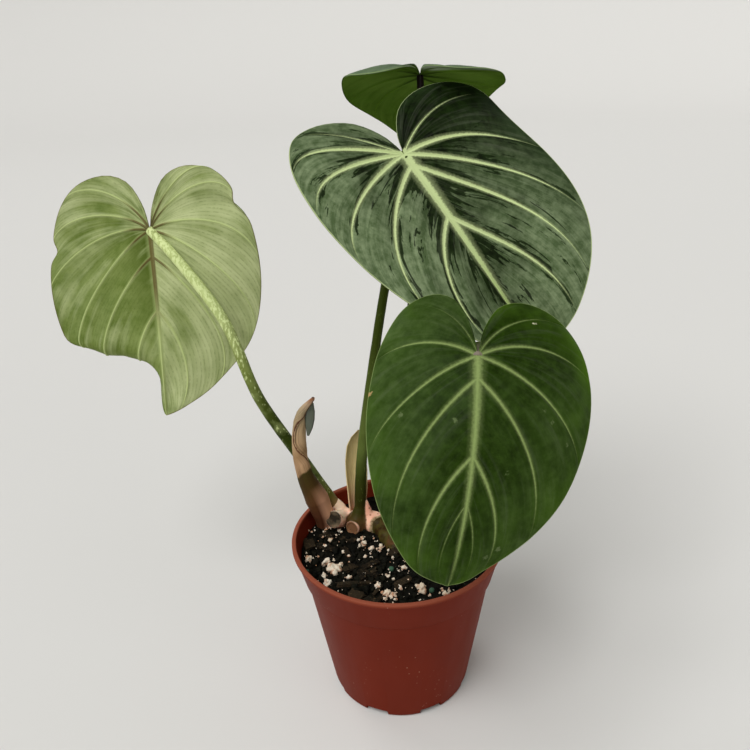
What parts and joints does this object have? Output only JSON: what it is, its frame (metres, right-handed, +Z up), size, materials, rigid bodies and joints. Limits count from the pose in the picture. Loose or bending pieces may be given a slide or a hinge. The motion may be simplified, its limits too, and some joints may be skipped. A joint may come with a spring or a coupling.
{
  "type": "potted house plant",
  "caption": "Creeping aroid house plant with heart-shaped velvety leaves on long petioles, rooted in soil in a tapered round nursery pot.",
  "frame": {"origin": "centre of the pot's flat base, on the surface it stands on", "axes": "+Z up, along the pot's axis; -Y towards the viewer, where the front leaf hangs; +X to the viewer's right"},
  "size_m": [0.2541, 0.2286, 0.2859],
  "materials": {
    "pot": "terracotta-coloured moulded plastic, satin",
    "soil": "black peat and bark potting mix with white perlite, matt and loose",
    "rhizome": "fleshy pale pink and tan stem, semi-matt",
    "blade": "velvety deep green leaf with pale lime veins and a sage green underside",
    "petiole": "smooth green leaf stalk, semi-gloss",
    "petiole_lime": "mottled pale lime leaf stalk, semi-gloss",
    "sheath_fresh": "fleshy pink and olive bud sheath with a papery tip",
    "sheath_dry": "thin beige dried sheath, matt"
  },
  "bodies": {
    "root": {"pot": "pot", "rhizome": "rhizome", "leaf_left": "blade", "leaf_big": "blade", "leaf_front": "blade", "leaf_back": "blade", "petiole_left": "petiole_lime", "petiole_big": "petiole", "petiole_front": "petiole", "petiole_back": "petiole", "sheath_new": "sheath_fresh", "sheath_dried": "sheath_dry", "soil": "soil"}
  },
  "joints": []
}
